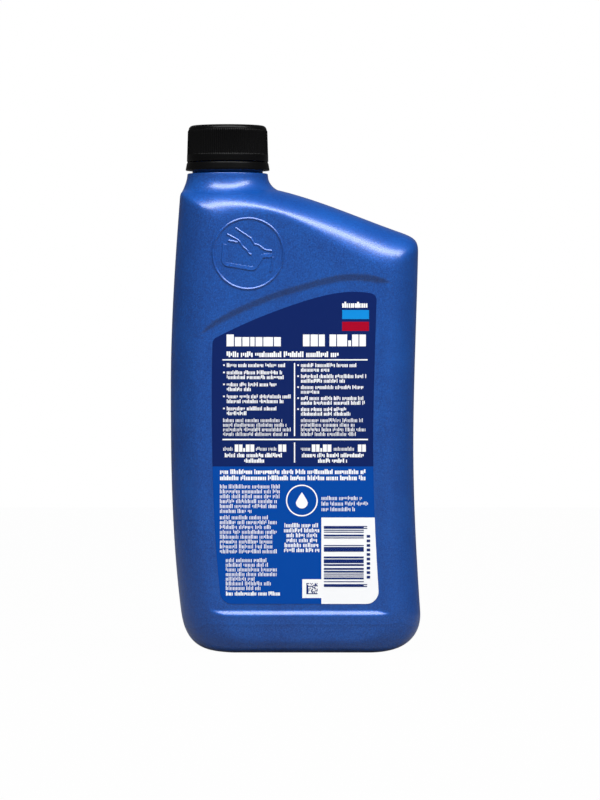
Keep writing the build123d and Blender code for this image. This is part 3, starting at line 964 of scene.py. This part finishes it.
def standing(outline_points, depth):
    """Points (x, height) of the badge set upright at a depth from the label's face."""
    x, z = outline_points.T
    return np.column_stack((x, np.full(len(x), label_face + depth), z))


hoop = [
    standing(badge_centre + radius * circle, depth)
    for radius, depth in (
        (badge_radius, ink_sunk), (badge_radius, -ink_proud),
        (badge_bore, -ink_proud), (badge_bore, ink_sunk))
]
add_ink(
    "badge_ring", np.vstack(hoop),
    grid_faces(ring_numbers(len(hoop), badge_count, True), closed_rows=True), ink_white)
upper = circle[:, 1] > 0
swell = np.where(upper, (1 - circle[:, 1]) ** 0.6, 1.0)
drop = badge_centre + np.column_stack((
    drop_width * circle[:, 0] * swell,
    -drop_low + circle[:, 1] * np.where(upper, drop_tip, drop_width)))
drop_faces = grid_faces(ring_numbers(2, badge_count, False), closed_rows=True).tolist()
drop_faces += [list(range(badge_count, 2 * badge_count)), list(range(badge_count - 1, -1, -1))]
drop = np.vstack([standing(drop, depth) for depth in (ink_sunk, -ink_proud)])
add_ink("badge_drop", drop, drop_faces, ink_white)
printed("cyan_mark", ((20.6, 32.4, 147.4, 151.4),), bar_cyan)
printed("red_mark", ((20.6, 32.4, 142.2, 146.2),), bar_red)

# Cap
# The moulded black screw cap: 120 fine ribs between a smooth skirt and a rounded top edge, with
# the screw ridge in its bore.

cap_foot, cap_top = (corner[2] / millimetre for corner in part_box("cap"))
rib_count, rib_depth, rib_foot = 120, 0.35, 220.8
skirt_radius, rib_foot_radius, rib_top_radius = 18.15, 18.05, 17.75
cap_bore, bore_edge, thread_play = 16.25, 0.3, 0.15
liner_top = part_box("cap_liner")[1][2] / millimetre
top_edge = 1.95
rib_shares = np.array((0.0, 0.2, 0.4, 0.5, 0.7, 0.9))
rib_wave = np.tile((0.85, 1.0, 0.85, 0.1, 0.0, 0.1), rib_count)
cap_turns = ((np.arange(rib_count)[:, None] + rib_shares) / rib_count * 2 * math.pi).ravel()
groove_foot, groove_top = rib_foot_radius - rib_depth, rib_top_radius - rib_depth
arc_foot = cap_top - top_edge
profile = [
    (skirt_radius - 0.2, cap_foot, 0), (skirt_radius - 0.05, cap_foot + 0.06, 0),
    (skirt_radius, cap_foot + 0.22, 0), (rib_foot_radius + 0.06, rib_foot - 0.3, 0),
    (rib_foot_radius + 0.04, rib_foot, 0.0), (groove_foot + 0.24, rib_foot + 0.14, 0.35),
    (groove_foot + 0.07, rib_foot + 0.4, 0.8), (groove_foot, rib_foot + 0.55, 1),
    (groove_top + 0.02, arc_foot - 1.0, 1), (groove_top + 0.01, arc_foot - 0.55, 1),
    (groove_top, arc_foot - 0.1, 0.25), (groove_top, arc_foot + 0.05, 0),
]
profile += [
    (groove_top - top_edge * (1 - math.cos(turn)), arc_foot + top_edge * math.sin(turn), 0)
    for turn in np.radians((12, 22, 32, 42, 52, 62, 72, 81, 90))
]
profile += [(11.0, cap_top, 0), (5.0, cap_top, 0), (1.0, cap_top, 0)]
bore_start = thread_start - (thread_foot_width + thread_crest_width) / 2 - thread_play
rows = [
    ring_of(cap_turns, radius, height) for radius, height in (
        (1.0, liner_top), (cap_bore - bore_edge, liner_top), (cap_bore, liner_top - bore_edge))
]
for height in np.arange(liner_top - 0.6, cap_foot + 0.5, -0.3):
    radius = cap_bore - ridge_height(cap_turns, height, bore_start)
    rows.append(ring_of(cap_turns, radius, height))
rows.append(ring_of(cap_turns, cap_bore, cap_foot + bore_edge))
rows.append(ring_of(cap_turns, cap_bore + bore_edge, cap_foot))
for radius, height, weight in profile:
    rows.append(ring_of(cap_turns, radius + weight * rib_depth * rib_wave, height))
numbers = ring_numbers(len(rows), len(cap_turns), False)
cap_points = np.vstack((*rows, ((neck_x, 0, liner_top), (neck_x, 0, cap_top))))
ceiling, crown = len(cap_points) - 2, len(cap_points) - 1
cap_faces = grid_faces(numbers, closed_rows=True).tolist()
first, last = numbers[0], numbers[-1]
cap_faces += np.column_stack((np.full(len(first), ceiling), np.roll(first, -1), first)).tolist()
cap_faces += np.column_stack((last, np.roll(last, -1), np.full(len(last), crown))).tolist()
cap = add_mesh("ribbed_cap", cap_points, cap_faces)
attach(cap, "cap")
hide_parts("cap")
black, black_shader = new_material(
    "black_satin_plastic", (0.001, 0.001, 0.0012), 0.3, Specular_IOR_Level=0.12)
grain = uneven_gloss(black, black_shader, 1500.0, 4.0, 0.27, 0.42)
bumps = add_node(black, "ShaderNodeBump", Strength=0.25, Distance=0.00004)
black.node_tree.links.new(grain.outputs[0], bumps.inputs["Height"])
black.node_tree.links.new(bumps.outputs[0], black_shader.inputs["Normal"])
cap.data.materials.append(black)

# Liner
# The disc of white foam that the cap presses on the bottle's rim.

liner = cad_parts["cap_liner"]
foam, foam_shader = new_material("white_foam", (0.8, 0.8, 0.77), 0.7)
cells = add_node(foam, "ShaderNodeTexVoronoi", Scale=3200.0)
foam.node_tree.links.new(object_place(foam), cells.inputs["Vector"])
dimples = add_node(foam, "ShaderNodeBump", Strength=0.4, Distance=0.0001)
foam.node_tree.links.new(cells.outputs["Distance"], dimples.inputs["Height"])
foam.node_tree.links.new(dimples.outputs[0], foam_shader.inputs["Normal"])
liner.data.materials.clear()
liner.data.materials.append(foam)

# Tamper band
# The black ring under the cap, caught by the neck's bead and joined to the cap by sixteen thin
# bridges until the cap is first turned.

band_foot, bridge_top = (corner[2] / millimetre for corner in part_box("tamper_band"))
band_top, band_bore = 217.5, 16.9
lip_radius, lip_top, lip_foot = 16.1, 215.5, 214.5      # the lip that the bead holds
band_foot_radius, band_top_radius = 18.7, 18.25
band_turns = np.linspace(0, 2 * math.pi, 256, endpoint=False)
profile = [
    (band_bore, band_foot), (band_foot_radius - 0.2, band_foot),
    (band_foot_radius - 0.05, band_foot + 0.05), (band_foot_radius, band_foot + 0.2),
    (band_foot_radius - 0.06, band_foot + 0.8), (band_top_radius + 0.03, band_top - 0.7),
    (band_top_radius, band_top - 0.5), (band_top_radius - 0.24, band_top - 0.08),
    (band_top_radius - 0.4, band_top), (band_bore + 0.1, band_top), (band_bore, band_top - 0.1),
    (band_bore, lip_top + 0.4), (lip_radius, lip_top), (lip_radius, lip_foot),
]
band_points = np.vstack([ring_of(band_turns, radius, height) for radius, height in profile])
band_faces = grid_faces(ring_numbers(len(profile), len(band_turns), True), closed_rows=True)
bridge_count, bridge_half_depth, bridge_half_width = 16, 0.35, 0.3
bridge_radius = (band_bore + band_top_radius) / 2
corner_ways = ((-1, -1), (1, -1), (1, 1), (-1, 1))
block = np.array([
    (bridge_radius + a * bridge_half_depth, b * bridge_half_width, z)
    for z in (band_top - 0.1, bridge_top) for a, b in corner_ways])
block_faces = np.array((
    (3, 2, 1, 0), (4, 5, 6, 7), (0, 1, 5, 4), (1, 2, 6, 5), (2, 3, 7, 6), (3, 0, 4, 7)))
bridge_turns = np.linspace(0, 2 * math.pi, bridge_count, endpoint=False)[:, None]
bridges = np.stack((
    neck_x + block[:, 0] * np.cos(bridge_turns) - block[:, 1] * np.sin(bridge_turns),
    block[:, 0] * np.sin(bridge_turns) + block[:, 1] * np.cos(bridge_turns),
    np.broadcast_to(block[:, 2], (bridge_count, len(block))),
), axis=-1).reshape(-1, 3)
first_corners = len(band_points) + np.arange(bridge_count)[:, None, None] * len(block)
bridge_faces = (first_corners + block_faces).reshape(-1, 4)
tamper = add_mesh(
    "tamper_ring", np.vstack((band_points, bridges)), np.vstack((band_faces, bridge_faces)))
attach(tamper, "bottle")
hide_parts("tamper_band")
tamper.data.materials.append(black)

# Oil
# What the bottle holds: clear amber oil up to the shoulder.

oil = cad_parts["motor_oil"]
amber, amber_shader = new_material(
    "amber_oil", (0.72, 0.36, 0.05), 0.04, Transmission_Weight=0.9, IOR=1.47)
murk = add_node(amber, "ShaderNodeTexNoise", Scale=25.0, Detail=2.0)
amber.node_tree.links.new(object_place(amber), murk.inputs["Vector"])
drift = add_node(amber, "ShaderNodeMix", data_type="RGBA")
drift.inputs[6].default_value = (0.7, 0.33, 0.04, 1)
drift.inputs[7].default_value = (0.8, 0.42, 0.07, 1)
amber.node_tree.links.new(murk.outputs[0], drift.inputs[0])
amber.node_tree.links.new(drift.outputs[2], amber_shader.inputs["Base Color"])
oil.data.materials.clear()
oil.data.materials.append(amber)

# Studio
# A white floor and backdrop, one soft lamp overhead and in front that lights the shoulder, and a
# room that is brighter in front of the object than behind it.

scene = bpy.context.scene
scene.view_settings.view_transform = "Standard"


def seen_white(material, shader, seen, mirrored, strength):
    """Mixes plain white light into a material: one share for what the camera sees, another for
    what gloss and glass show of it."""
    light = add_node(material, "ShaderNodeEmission", Strength=strength)
    mix = add_node(material, "ShaderNodeMixShader")
    rays = add_node(material, "ShaderNodeLightPath")
    direct = add_node(material, "ShaderNodeMath", operation="MULTIPLY")
    either = add_node(material, "ShaderNodeMath", operation="MAXIMUM")
    indirect = add_node(material, "ShaderNodeMath", operation="MULTIPLY")
    weight = add_node(material, "ShaderNodeMath", operation="MAXIMUM")
    direct.inputs[1].default_value = seen
    indirect.inputs[1].default_value = mirrored
    link = material.node_tree.links.new
    link(rays.outputs["Is Camera Ray"], direct.inputs[0])
    link(rays.outputs["Is Glossy Ray"], either.inputs[0])
    link(rays.outputs["Is Transmission Ray"], either.inputs[1])
    link(either.outputs[0], indirect.inputs[0])
    link(direct.outputs[0], weight.inputs[0])
    link(indirect.outputs[0], weight.inputs[1])
    link(weight.outputs[0], mix.inputs[0])
    link(shader.outputs[0], mix.inputs[1])
    link(light.outputs[0], mix.inputs[2])
    link(mix.outputs[0], material.node_tree.nodes["Material Output"].inputs["Surface"])


floor_reach, wall_reach, wall_y, wall_foot, wall_top = 4000, 1100, 3200, -10, 1500
paper_grey = (0.25, 0.25, 0.25)
floor_corners = [(a * floor_reach, b * floor_reach, 0) for a, b in corner_ways]
floor = add_mesh("floor", floor_corners, [range(4)])
pale, pale_shader = new_material("pale_floor", paper_grey, 0.9)
seen_white(pale, pale_shader, 0.985, 0.08, 1.0)
floor.data.materials.append(pale)
wall_corners = [(a * wall_reach, wall_y, wall_top if b > 0 else wall_foot) for a, b in corner_ways]
backdrop = add_mesh("backdrop", wall_corners, [range(4)])
cloth, cloth_shader = new_material("backdrop_paper", paper_grey, 0.9)
seen_white(cloth, cloth_shader, 1.0, 0.12, 1.0)
backdrop.data.materials.append(cloth)

world = bpy.data.worlds.new("studio")
scene.world = world
world.use_nodes = True
background = world.node_tree.nodes["Background"]
way = world.node_tree.nodes.new("ShaderNodeTexCoord")
way_axes = world.node_tree.nodes.new("ShaderNodeSeparateXYZ")
falloff = world.node_tree.nodes.new("ShaderNodeMapRange")
falloff.inputs["From Min"].default_value, falloff.inputs["From Max"].default_value = -0.8, 0.5
falloff.inputs["To Min"].default_value, falloff.inputs["To Max"].default_value = 0.4, 0.1
world.node_tree.links.new(way.outputs["Generated"], way_axes.inputs[0])
world.node_tree.links.new(way_axes.outputs["Y"], falloff.inputs["Value"])
world.node_tree.links.new(falloff.outputs[0], background.inputs["Strength"])
background.inputs["Color"].default_value = (1, 1, 1, 1)


def add_lamp(name, place, aim, size, power):
    """A soft rectangular lamp that lights but isn't seen by the camera."""
    lamp = bpy.data.lights.new(name, "AREA")
    lamp.shape = "RECTANGLE"
    lamp.size, lamp.size_y = size
    lamp.energy = power
    holder = bpy.data.objects.new(name, lamp)
    scene.collection.objects.link(holder)
    holder.location = place
    holder.rotation_euler = (Vector(aim) - Vector(place)).to_track_quat("-Z", "Y").to_euler()
    holder.visible_camera = False
    return holder


add_lamp("overhead", (0.18, -0.55, 1.1), (0.18, -0.55, 0.0), (1.6, 0.4), 31)

camera_place, lens_length, sensor_width = (0.00198, -2.4, 0.11172), 242.15, 36.0
camera_data = bpy.data.cameras.new("camera")
camera = bpy.data.objects.new("camera", camera_data)
scene.collection.objects.link(camera)
camera.location = camera_place
camera.rotation_euler = (math.radians(90), 0, 0)
camera_data.lens, camera_data.sensor_width = lens_length, sensor_width
scene.camera = camera
